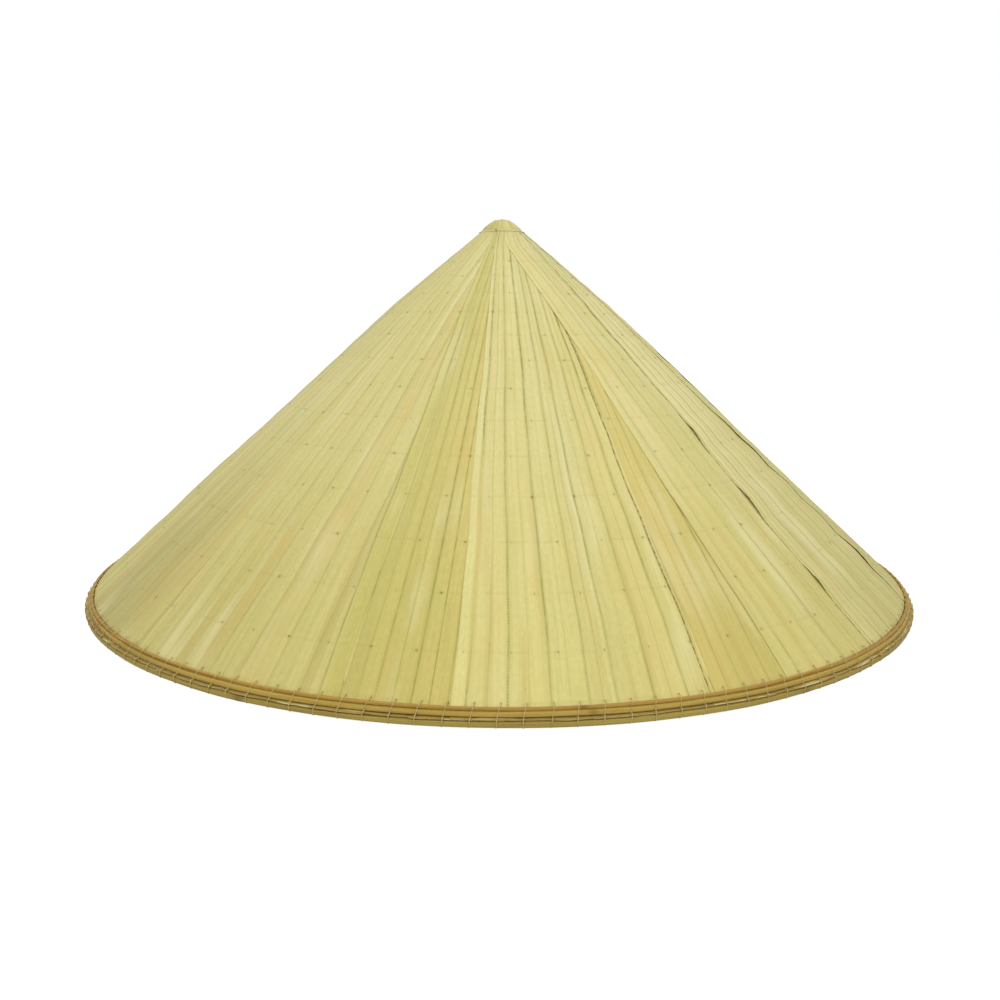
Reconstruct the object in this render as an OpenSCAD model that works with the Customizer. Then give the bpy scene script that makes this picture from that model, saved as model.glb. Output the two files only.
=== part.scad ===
// Conical hat of palm leaf sewn on bamboo hoops.
// Millimetres, +Z up to the tip. The origin is the centre of the plane that the rim rests on.
// A place on the cover is given by its slant, the distance down the slope from the sharp apex
// that the cone would have, and its depth, the distance inwards from the outermost leaf face.
// A bearing is the angle round the hat from the -Y side, and it grows towards +X.

/* [Cone] */
// Outer diameter of the bamboo rim
rim_d = 420; // [380:5:450]
// Height of the cone's sharp apex above the rim's resting plane
apex_h = 194; // [180:2:210]
// Slope of the gentler crown round the tip
crown_slope = 39.5; // [38:0.1:41]
// Slant at which the crown passes into the cone, between two hoops
crown_slant = 75; // [73:1:77]

/* [Leaf cover] */
// Thickness of one pressed leaf
leaf_t = 0.25; // [0.2:0.01:0.26]
// Clearance between two leaves that lie on each other
leaf_gap = 0.03; // [0.02:0.01:0.03]
// Angle by which a leaf covers its neighbour
lap_deg = 5; // [3:1:8]
// Slant at which the leaves begin, under the tip cap
leaf_top = 8.5; // [8:0.5:12]
// Number of leaves in the inner layer
inner_leaf_count = 14; // [10:1:14]

/* [Hoops] */
// Number of small hoops between the tip and the rim
hoop_count = 15; // [8:1:15]
// Thickness of the first hoop, at the tip
hoop_d_top = 1.7; // [1.4:0.1:2]
// Thickness of the last small hoop, near the rim
hoop_d_low = 2.4; // [2:0.1:2.8]
// Gap between the two ends of a bent hoop or strip
end_gap = 0.4; // [0.2:0.1:1]

/* [Rim] */
// Height of the hoop that closes the rim from inside
rim_hoop_h = 2; // [1.8:0.1:2.6]
// Width of that hoop, across the rim
rim_hoop_w = 3.6; // [3:0.1:3.8]
// Height of the wide strip on the outside of the rim
strip_mid_h = 1.8; // [1.4:0.1:2.2]
// Height of the narrow strip on top of it
strip_top_h = 1.1; // [0.9:0.1:1.4]
// Number of turns of the binding thread round the rim
bind_count = 144; // [60:4:160]

/* [Thread] */
// Thickness of the binding thread
bind_t = 0.45; // [0.3:0.05:0.6]
// Thickness of the sewing thread
sew_t = 0.3; // [0.2:0.05:0.4]
// Distance between two stitches along a hoop
stitch_pitch = 17; // [15:1:30]
// Radius of a chin strap loop
loop_r = 4.2; // [3.5:0.1:5]

/* [Hidden] */
$fn = 96;

// Colours
STRAW = [0.82, 0.77, 0.51];
PALE = [0.85, 0.81, 0.56];
OLIVE = [0.73, 0.70, 0.40];
TAN = [0.80, 0.71, 0.44];
INNER = [0.84, 0.79, 0.55];
BAMBOO = [0.80, 0.68, 0.38];
BROWN = [0.66, 0.50, 0.25];
YELLOW = [0.80, 0.70, 0.38];
THREAD = [0.90, 0.87, 0.74];

// Rim section, from the resting plane up
rim_r = rim_d / 2;
rim_hoop_r = rim_r - rim_hoop_w;
chamfer = 0.4;
fit_gap = 0.05;
level = leaf_t + leaf_gap;
cover_t = 4 * leaf_t + 3 * leaf_gap;
turn_z = rim_hoop_h + fit_gap + cover_t;
strip_mid_z = turn_z + 0.1;
strip_mid_w = 2.1;
strip_top_z = strip_mid_z + strip_mid_h + fit_gap;
strip_top_w = 1.2;
strip_edge = 0.3;
rim_top = strip_top_z + strip_top_h;

// The leaf turns down behind the outer strips at this radius, and out again under them
bend_r = rim_r - 3.8;
strip_r = bend_r + 0.15;
leaf_edge_r = rim_r - 0.2;
inner_edge_r = rim_r - 0.6;

// Slope of the cone: the leaf meets the bend almost level with the top of the strips
bend_z = rim_top - 0.2;
slope = atan((apex_h - bend_z) / bend_r);

// Bearings of the visible left edges of the outer leaves. The front ones are uneven, as sewn,
// and the rest share what is left of the circle.
front_edges = [-65, -44, -17.8, -4.4, 21, 31, 46.6, 68];
back_count = 11;
back_step = (360 + front_edges[0] - front_edges[7]) / back_count;
outer_edges = concat(front_edges, [for (k = [1:back_count]) front_edges[7] + k * back_step]);
outer_leaf_count = len(outer_edges) - 1;
outer_tints = [STRAW, STRAW, OLIVE, PALE, TAN, STRAW, PALE, STRAW, TAN];
inner_step = 360 / inner_leaf_count;
inner_first = 9;
jog_deg = 0.35;
lap_clear_deg = 0.1;

// Slants of the small hoops: the spacing widens steadily from the tip to the rim
function hoop_slant(n) = 22.4 + 9.25 * n + 0.544 * n * n;
function hoop_d(n) = hoop_d_top + (hoop_d_low - hoop_d_top) * n / (hoop_count - 1);
function hoop_depth(n) = cover_t + fit_gap + hoop_d(n) / 2;

// Radius and height of a place on the slope, and of one on the crown above it
function slope_point(slant, depth) = [
    slant * cos(slope) - depth * sin(slope),
    apex_h - slant * sin(slope) - depth * cos(slope)
];
function crown_point(slant, depth) = slope_point(crown_slant, 0) + [
    (slant - crown_slant) * cos(crown_slope) - depth * sin(crown_slope),
    (crown_slant - slant) * sin(crown_slope) - depth * cos(crown_slope)
];
function cone_point(slant, depth) =
    slant < crown_slant ? crown_point(slant, depth) : slope_point(slant, depth);
function bend_slant(depth) = (bend_r - depth + depth * sin(slope)) / cos(slope);

// Slant at which a face at some depth turns from the crown to the slope
function turn_slant(depth) = crown_slant + depth * tan((slope - crown_slope) / 2);

// Line of a leaf face in the radius-height plane: down the crown, down the slope, down, and
// out to its edge. It runs on past the leaf at both ends by the amount in over.
function leaf_line(depth, edge_r, over) = [
    crown_point(leaf_top - over, depth),
    slope_point(turn_slant(depth), depth),
    slope_point(bend_slant(depth), depth),
    [bend_r - depth, turn_z - depth],
    [edge_r + over, turn_z - depth]
];
function reversed(list) = [for (k = [len(list) - 1:-1:0]) list[k]];

// Tip cap: a dome of this radius that passes into the crown's slope all round
cap_dome_r = 13;
cap_t = 0.5;
cap_low_slant = 20.5;
tie_slant = 19.2;
tie_d = 0.7;

// Chin strap loops, on this hoop
loop_hoop = 12;
loop_thread_d = 0.9;
loop_turns = 3;

function two_digits(n) = n < 10 ? str("0", n) : str(n);

hoop_names = [for (n = [1:hoop_count]) str("hoop_", two_digits(n))];
outer_names = [for (n = [1:outer_leaf_count]) str("outer_leaf_", two_digits(n))];
inner_names = [for (n = [1:inner_leaf_count]) str("inner_leaf_", two_digits(n))];
other_names = [
    "rim_hoop", "rim_strip_middle", "rim_strip_top", "rim_binding",
    "hoop_joint_ties", "hoop_stitching", "tip_cap", "tip_tie",
    "strap_loop_left", "strap_loop_right"
];

// Turns a shape from the -Y side to a bearing
module at_bearing(bearing) {
    rotate([0, 0, bearing - 90]) children();
}

// Part of a solid of revolution between two bearings, in steps fine enough for thin shells
module sector(from, to) {
    at_bearing(from) rotate_extrude(angle = to - from, $fn = 720) children();
}

// Section of one leaf layer from one depth to another
module leaf_section(from, to, edge_r, over = 0) {
    polygon(concat(leaf_line(from, edge_r, over), reversed(leaf_line(to, edge_r, over))));
}

// One leaf: its left edge lies on its neighbour, steps down past it, and runs under the next.
// It is cut out of a shell two levels thick.
module leaf(left, right, depth, edge_r) {
    step = left + lap_deg;
    end = right + lap_deg - lap_clear_deg;
    low = depth + level + leaf_t;
    difference() {
        sector(left, end) leaf_section(depth, low, edge_r);
        sector(left - 1, step) leaf_section(depth + leaf_t, low + 0.5, edge_r, 1);
        sector(step + jog_deg, end + 1) leaf_section(depth - 0.5, depth + level, edge_r, 1);
    }
}

module outer_leaf(n) {
    tint = outer_tints[n % len(outer_tints)];
    color(tint) leaf(outer_edges[n], outer_edges[n + 1], 0, leaf_edge_r);
}

module inner_leaf(n) {
    left = inner_first + n * inner_step;
    color(INNER) leaf(left, left + inner_step, 2 * level, inner_edge_r);
}

// A strip of bamboo bent into a ring, so that its two ends meet with a small gap between them.
// The child is its section, and r is the radius that the section's middle runs on.
module bent_ring(r, joint_bearing) {
    gap_deg = end_gap / r * 180 / PI;
    sector(joint_bearing + gap_deg / 2, joint_bearing + 360 - gap_deg / 2) children();
}

function hoop_joint_bearing(n) = 150 + 37 * n;

module hoop(n) {
    middle = cone_point(hoop_slant(n), hoop_depth(n));
    color(BAMBOO) bent_ring(middle.x, hoop_joint_bearing(n))
        translate(middle) circle(d = hoop_d(n), $fn = 72);
}

// A bent strip of bamboo with chamfered edges
module strip(inner_r, width, low, height, edge, joint_bearing) {
    outer_r = inner_r + width;
    top = low + height;
    bent_ring(inner_r + width / 2, joint_bearing) polygon([
        [inner_r, low], [outer_r - edge, low], [outer_r, low + edge],
        [outer_r, top - edge], [outer_r - edge, top],
        [inner_r + edge, top], [inner_r, top - edge]
    ]);
}

module rim_hoop() {
    color(BROWN) strip(rim_hoop_r, rim_hoop_w, 0, rim_hoop_h, chamfer, 160);
}

module rim_strip_middle() {
    color(YELLOW) strip(strip_r, strip_mid_w, strip_mid_z, strip_mid_h, strip_edge, 195);
}

module rim_strip_top() {
    color(BROWN) strip(strip_r, strip_top_w, strip_top_z, strip_top_h, strip_edge, 130);
}

// A flat closed turn of thread with cut corners, standing in the radius-height plane at a
// bearing. It goes up on the outside from low to the shoulder, and leans in to the top.
module thread_turn(low, shoulder, top, corner, t, bearing) {
    lean = [shoulder.x - top.x, top.y - shoulder.y] / norm(shoulder - top);
    outline = [for (o = [t, 0])
        each [
            [low.x - o + corner, low.y - o], [shoulder.x + o - corner, low.y - o],
            [shoulder.x + o, low.y - o + corner],
            shoulder + o * [1, lean.x / (1 + lean.y)],
            top + o * [lean.y, lean.x], top + [o * lean.x / (1 + lean.y) - corner, o + corner],
            [low.x - o + corner, top.y + o + corner],
            [low.x - o, top.y + o], [low.x - o, low.y - o + corner]
        ]
    ];
    at_bearing(bearing) rotate([90, 0, 0]) linear_extrude(height = t, center = true)
        polygon(outline, paths = [[for (k = [0:8]) k], [for (k = [9:17]) k]]);
}

// The thread goes through the leaf above the strips and round under the rim hoop.
// Its lowest run lies in a groove in the hoop, level with the resting plane.
module rim_binding() {
    low = [rim_hoop_r - 0.05, bind_t + 0.02];
    shoulder = [rim_r - 0.05, turn_z + 0.2];
    top = [strip_r + strip_top_w + 0.1, rim_top - 0.25];
    color(THREAD) for (k = [0:bind_count - 1])
        thread_turn(low, shoulder, top, 0.3, bind_t, 360 * k / bind_count);
}

// Ring of thread that stands in the radius-height plane round a point of its section
module thread_ring(point, inner_r, t, width, bearing) {
    at_bearing(bearing) translate([point.x, 0, point.y]) rotate([90, 0, 0])
        linear_extrude(height = width, center = true) difference() {
            circle(r = inner_r + t);
            circle(r = inner_r);
        }
}

// Turn of sewing thread round hoop n and through the leaves
module stitch(n, bearing) {
    inner_r = (cover_t + fit_gap + hoop_d(n)) / 2 + 0.05;
    thread_ring(cone_point(hoop_slant(n), inner_r - 0.05), inner_r, sew_t, sew_t, bearing);
}

// Each ring has a multiple of four stitches, and neighbouring rings are staggered
function stitch_count(n) =
    4 * max(1, round(2 * PI * cone_point(hoop_slant(n), 0).x / stitch_pitch / 4));

module hoop_stitching() {
    color(THREAD) for (n = [0:hoop_count - 1]) {
        step = 360 / stitch_count(n);
        for (k = [0:stitch_count(n) - 1])
            stitch(n, (k + 0.25 + 0.5 * (n % 2)) * step);
    }
}

// Short wraps of thread on both sides of each hoop's joint, sunk into the bamboo
module hoop_joint_ties() {
    wrap_len = 1.6;
    wrap_t = 0.25;
    from_joint = 4;
    color(THREAD) for (n = [0:hoop_count - 1]) {
        middle = cone_point(hoop_slant(n), hoop_depth(n));
        turn_deg = from_joint / middle.x * 180 / PI;
        for (side = [-1, 1])
            thread_ring(middle, hoop_d(n) / 2 - wrap_t + 0.02, wrap_t, wrap_len,
                hoop_joint_bearing(n) + side * turn_deg);
    }
}

// Section line of a dome that runs smoothly into the crown's slope, at a depth
function crown_apex_h(depth) =
    crown_point(0, depth).y + crown_point(0, depth).x * tan(crown_slope);
function dome_line(depth, dome_r) = [
    for (k = [0:8])
        let (a = (90 - crown_slope) + crown_slope * k / 8)
            [dome_r * cos(a), crown_apex_h(depth) - dome_r / cos(crown_slope) + dome_r * sin(a)]
];

module tip_cap() {
    outside = concat([cone_point(cap_low_slant, -fit_gap - cap_t)],
        dome_line(-fit_gap - cap_t, cap_dome_r));
    inside = concat([cone_point(cap_low_slant, -fit_gap)],
        dome_line(-fit_gap, cap_dome_r - cap_t));
    color(PALE) rotate_extrude() polygon(concat(outside, reversed(inside)));
}

module tip_tie() {
    depth = -fit_gap - cap_t - tie_d / 2;
    color(THREAD) rotate_extrude()
        translate(cone_point(tie_slant, depth)) circle(d = tie_d);
}

// Turns of thread round one hoop, side by side, that a chin strap is tied to
module strap_loop(bearing) {
    centre = cone_point(hoop_slant(loop_hoop), hoop_depth(loop_hoop) + loop_r - 1.7);
    color(THREAD) for (k = [0:loop_turns - 1])
        at_bearing(bearing)
            translate([centre.x, (k - (loop_turns - 1) / 2) * (loop_thread_d + fit_gap), centre.y])
                rotate([90, 0, 0]) rotate_extrude()
                    translate([loop_r, 0]) circle(d = loop_thread_d);
}

for (n = [0:outer_leaf_count - 1])
    outer_leaf(n);
for (n = [0:inner_leaf_count - 1])
    inner_leaf(n);
for (n = [0:hoop_count - 1])
    hoop(n);
rim_hoop();
rim_strip_middle();
rim_strip_top();
rim_binding();
hoop_joint_ties();
hoop_stitching();
tip_cap();
tip_tie();
strap_loop(-90);  // strap_loop_left
strap_loop(90);  // strap_loop_right
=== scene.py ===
"""Looks of the conical leaf hat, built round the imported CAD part.

Every place on the cover is given as in the CAD: a bearing is the angle round the hat from the
-Y side, growing towards +X. A slant is the distance down the cover from the apex. A depth is
the distance inwards from the outermost leaf face. Lengths are in metres.
"""

import math

import bpy
import numpy as np
from mathutils import Matrix, Vector


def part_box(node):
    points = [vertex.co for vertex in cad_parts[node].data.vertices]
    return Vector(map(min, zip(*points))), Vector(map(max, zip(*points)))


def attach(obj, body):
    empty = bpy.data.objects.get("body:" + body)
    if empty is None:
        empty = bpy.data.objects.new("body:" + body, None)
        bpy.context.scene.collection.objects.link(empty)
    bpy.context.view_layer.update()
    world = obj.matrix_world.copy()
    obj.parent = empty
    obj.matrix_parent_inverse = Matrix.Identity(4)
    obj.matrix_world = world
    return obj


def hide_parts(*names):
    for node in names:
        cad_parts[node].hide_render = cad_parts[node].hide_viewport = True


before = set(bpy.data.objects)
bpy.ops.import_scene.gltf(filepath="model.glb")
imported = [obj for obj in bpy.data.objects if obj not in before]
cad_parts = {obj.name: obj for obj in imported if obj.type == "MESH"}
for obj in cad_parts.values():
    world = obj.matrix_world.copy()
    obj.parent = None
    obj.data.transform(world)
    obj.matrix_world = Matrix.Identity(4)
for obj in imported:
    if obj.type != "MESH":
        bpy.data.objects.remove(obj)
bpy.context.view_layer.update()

MM = 0.001
TURN = 2 * math.pi


# ------------ the frame's own sizes

def corners(node):
    """The corner points of a CAD node's mesh."""
    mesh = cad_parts[node].data
    flat = np.zeros(len(mesh.vertices) * 3)
    mesh.vertices.foreach_get("co", flat)
    return flat.reshape(-1, 3)


class Ring:
    """Inner and outer radius, lowest and highest point of a CAD node that goes round the hat."""

    def __init__(self, node):
        points = corners(node)
        radius = np.hypot(points[:, 0], points[:, 1])
        self.inner, self.outer = radius.min(), radius.max()
        self.low, self.high = points[:, 2].min(), points[:, 2].max()
        self.radius = (self.inner + self.outer) / 2
        self.height = (self.low + self.high) / 2
        self.thick = self.high - self.low
        self.width = self.outer - self.inner


def bearings_of(node):
    """First and last bearing of a CAD leaf, in radians."""
    points = corners(node)
    angle = np.arctan2(points[:, 0], -points[:, 1])
    middle = math.atan2(np.sin(angle).sum(), np.cos(angle).sum())
    spread = (angle - middle + math.pi) % TURN - math.pi
    return middle + spread.min(), middle + spread.max()


def named(start):
    return sorted(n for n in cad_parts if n.startswith(start))


HOOP_NODES = [n for n in named("hoop_") if n[5:].isdigit()]
HOOPS = [Ring(n) for n in HOOP_NODES]
RIM_HOOP = Ring("rim_hoop")
STRIP_MIDDLE = Ring("rim_strip_middle")
STRIP_TOP = Ring("rim_strip_top")
OUTER_NODES = named("outer_leaf_")
INNER_NODES = named("inner_leaf_")


def side_by_side(*values):
    """Values that spread to one shape, as the coordinates of points."""
    return np.stack(np.broadcast_arrays(*values), -1)


def running_sum(steps):
    return np.concatenate([[0], np.cumsum(steps)])


def smooth(x, start, end):
    """0 before start, 1 after end, and a smooth passage between them."""
    t = np.clip((x - start) / (end - start), 0, 1)
    return t * t * (3 - 2 * t)


# ------------ the line of the cover

# Thickness of both leaf layers together, and depth of the hoops' tops under them. The crown
# round the tip is gentler; its slope turns into the cone's within the blend on either side of
# the crown's slant. The cover bends down a small gap inside the middle rim strip, and both
# bends are rounded off.
COVER_THICK = 1.09 * MM
HOOP_DEPTH = COVER_THICK + 0.05 * MM
CROWN_SLOPE = math.radians(39.5)
CROWN_SLANT = 75 * MM
CROWN_BLEND = 8 * MM
BEND_GAP = 0.15 * MM
ROUND_OFF = 0.6 * MM


def cone_of_hoops():
    """Slope of the cone and height of its sharp apex, from the hoops that the cover lies on."""
    first, last = HOOPS[6], HOOPS[-1]
    slope = math.atan2(first.height - last.height, last.radius - first.radius)
    for _ in range(4):
        tops = [
            (h.radius + h.thick / 2 * math.sin(slope), h.height + h.thick / 2 * math.cos(slope))
            for h in (first, last)
        ]
        slope = math.atan2(tops[0][1] - tops[1][1], tops[1][0] - tops[0][0])
    apex = tops[1][1] + tops[1][0] * math.tan(slope) + HOOP_DEPTH / math.cos(slope)
    return slope, apex


SLOPE, APEX = cone_of_hoops()
FLAT = math.cos(SLOPE)
BEND_RADIUS = STRIP_MIDDLE.inner - BEND_GAP
BEND_SLANT = BEND_RADIUS / FLAT
# The leaves' ends turn outwards at this height, between the middle strip and the rim hoop
FLANGE_Z = STRIP_MIDDLE.low - 0.1 * MM
DROP = APEX - BEND_RADIUS * math.tan(SLOPE) - FLANGE_Z
TURN_SLANT = BEND_SLANT + DROP
EDGE_SLANT = TURN_SLANT + RIM_HOOP.outer - 0.2 * MM - BEND_RADIUS


def cover_line():
    """Slant, radius, height and fall angle along the outermost face, from the tip to its edge."""
    step = 0.05 * MM
    slant = np.arange(0, EDGE_SLANT + 3 * MM, step)
    fall = CROWN_SLOPE + (SLOPE - CROWN_SLOPE) * smooth(
        slant, CROWN_SLANT - CROWN_BLEND, CROWN_SLANT + CROWN_BLEND
    )
    fall += (math.pi / 2 - SLOPE) * smooth(slant, BEND_SLANT - ROUND_OFF, BEND_SLANT + ROUND_OFF)
    fall -= math.pi / 2 * smooth(slant, TURN_SLANT - ROUND_OFF, TURN_SLANT + ROUND_OFF)
    radius = running_sum(np.cos(fall[:-1]) * step)
    height = running_sum(-np.sin(fall[:-1]) * step)
    # This place lies on the straight part, whose radius and height follow from slope and apex
    known = 100 * MM
    radius += known * FLAT - np.interp(known, slant, radius)
    height += APEX - known * math.sin(SLOPE) - np.interp(known, slant, height)
    return slant, radius, height, fall


LINE = cover_line()


def on_cover(slant, depth):
    """Radius and height of places at these slants and depths."""
    radius = np.interp(slant, LINE[0], LINE[1])
    height = np.interp(slant, LINE[0], LINE[2])
    fall = np.interp(slant, LINE[0], LINE[3])
    return radius - depth * np.sin(fall), height - depth * np.cos(fall)


def slant_at(radius, height):
    """Slant of the place on the cover nearest to a point of the radius-height plane."""
    away = np.hypot(LINE[1] - radius, LINE[2] - height)
    return LINE[0][away.argmin()]


def around(bearing, radius, height):
    """Points at these bearings, distances from the hat's axis and heights."""
    return side_by_side(radius * np.sin(bearing), -radius * np.cos(bearing), height)


HOOP_SLANTS = [slant_at(h.radius, h.height) for h in HOOPS]

# Spacing that the stitches on a hoop come close to
STITCH_PITCH = 17 * MM

# The binding thread: its turns, the way from one to the next, the slant of its holes in the
# leaf, and how far a hole lies to the right of the thread on the strips
BIND_TURNS = 144
BIND_PITCH = TURN * RIM_HOOP.radius / BIND_TURNS
HOLE_SLANT = BEND_SLANT - 1.5 * MM
HOLE_LEAD = 0.9 * MM


def stitch_count(n):
    """Stitches on hoop n, as in the CAD: the multiple of four that suits the spacing best."""
    radius = on_cover(HOOP_SLANTS[n], 0)[0]
    return 4 * max(1, round(TURN * float(radius) / STITCH_PITCH / 4))


# ------------ materials

def linear(r, g, b):
    """Linear colour of an sRGB one given from 0 to 255."""
    def one(c):
        c /= 255
        return c / 12.92 if c <= 0.04045 else ((c + 0.055) / 1.055) ** 2.4
    return (one(r), one(g), one(b), 1.0)


class Graph:
    """A material under construction: its colour so far, and short names for its nodes."""

    def __init__(self, name):
        self.material = bpy.data.materials.new(name)
        self.material.use_nodes = True
        self.tree = self.material.node_tree
        self.shader = self.tree.nodes["Principled BSDF"]
        self.colour = None

    def link(self, value, socket):
        if isinstance(value, bpy.types.NodeSocket):
            self.tree.links.new(value, socket)
        else:
            socket.default_value = value

    def math(self, kind, *values):
        node = self.tree.nodes.new("ShaderNodeMath")
        node.operation = kind
        for value, socket in zip(values, node.inputs):
            self.link(value, socket)
        return node.outputs[0]

    def add(self, a, b):
        return self.math("ADD", a, b)

    def minus(self, a, b):
        return self.math("SUBTRACT", a, b)

    def times(self, a, b):
        return self.math("MULTIPLY", a, b)

    def from_half(self, value):
        """How far a number's fraction is from one half, and on which side."""
        return self.minus(self.math("FRACT", value), 0.5)

    def attribute(self, name):
        node = self.tree.nodes.new("ShaderNodeAttribute")
        node.attribute_name = name
        return node

    def split(self, vector):
        node = self.tree.nodes.new("ShaderNodeSeparateXYZ")
        self.link(vector, node.inputs[0])
        return node.outputs

    def join(self, x, y, z):
        node = self.tree.nodes.new("ShaderNodeCombineXYZ")
        for value, socket in zip((x, y, z), node.inputs):
            self.link(value, socket)
        return node.outputs[0]

    def noise(self, vector, detail=2.0, rough=0.5):
        node = self.tree.nodes.new("ShaderNodeTexNoise")
        self.link(vector, node.inputs["Vector"])
        node.inputs["Scale"].default_value = 1.0
        node.inputs["Detail"].default_value = detail
        node.inputs["Roughness"].default_value = rough
        return node.outputs[0]

    def streaks(self, x, x_scale, y, y_scale, lot, detail=2.0, rough=0.5):
        """Noise over two coordinates, each multiplied by its own number."""
        place = self.join(self.times(x, x_scale), self.times(y, y_scale), lot)
        return self.noise(place, detail, rough)

    def chance(self, x, y):
        """One steady random value for each whole x and y."""
        node = self.tree.nodes.new("ShaderNodeTexWhiteNoise")
        node.noise_dimensions = "2D"
        self.link(self.join(x, y, 0.0), node.inputs["Vector"])
        return node.outputs[0]

    def ramp(self, value, start, end, low=0.0, high=1.0):
        """From low at start to high at end, smoothly."""
        node = self.tree.nodes.new("ShaderNodeMapRange")
        node.interpolation_type = "SMOOTHSTEP"
        for item, socket in zip((value, start, end, low, high), node.inputs):
            self.link(item, socket)
        return node.outputs[0]

    def mix(self, factor, a, b, blend="MIX"):
        node = self.tree.nodes.new("ShaderNodeMix")
        node.data_type = "RGBA"
        node.blend_type = blend
        self.link(factor, node.inputs[0])
        self.link(a, node.inputs[6])
        self.link(b, node.inputs[7])
        return node.outputs[2]

    def shade(self, amount):
        """Makes the colour lighter or darker by a number."""
        grey = self.join(amount, amount, amount)
        self.colour = self.mix(1.0, self.colour, grey, "MULTIPLY")

    def recolour(self, amount, towards):
        """Moves the colour by this amount towards an sRGB one."""
        self.colour = self.mix(amount, self.colour, linear(*towards))

    def finish(self, roughness, height, distance, specular):
        bump = self.tree.nodes.new("ShaderNodeBump")
        bump.inputs["Strength"].default_value = 1.0
        bump.inputs["Distance"].default_value = distance
        self.link(height, bump.inputs["Height"])
        self.link(self.colour, self.shader.inputs["Base Color"])
        self.link(roughness, self.shader.inputs["Roughness"])
        self.link(bump.outputs[0], self.shader.inputs["Normal"])
        self.shader.inputs["Specular IOR Level"].default_value = specular
        return self.material


# A leaf is a fan of pleats, each this wide at the rim, that spread from a point beyond the tip
PLEAT = 13.5 * MM
FAN_BACK = 40 * MM
PLEAT_PER_LENGTH = PLEAT / (EDGE_SLANT + FAN_BACK)


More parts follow.
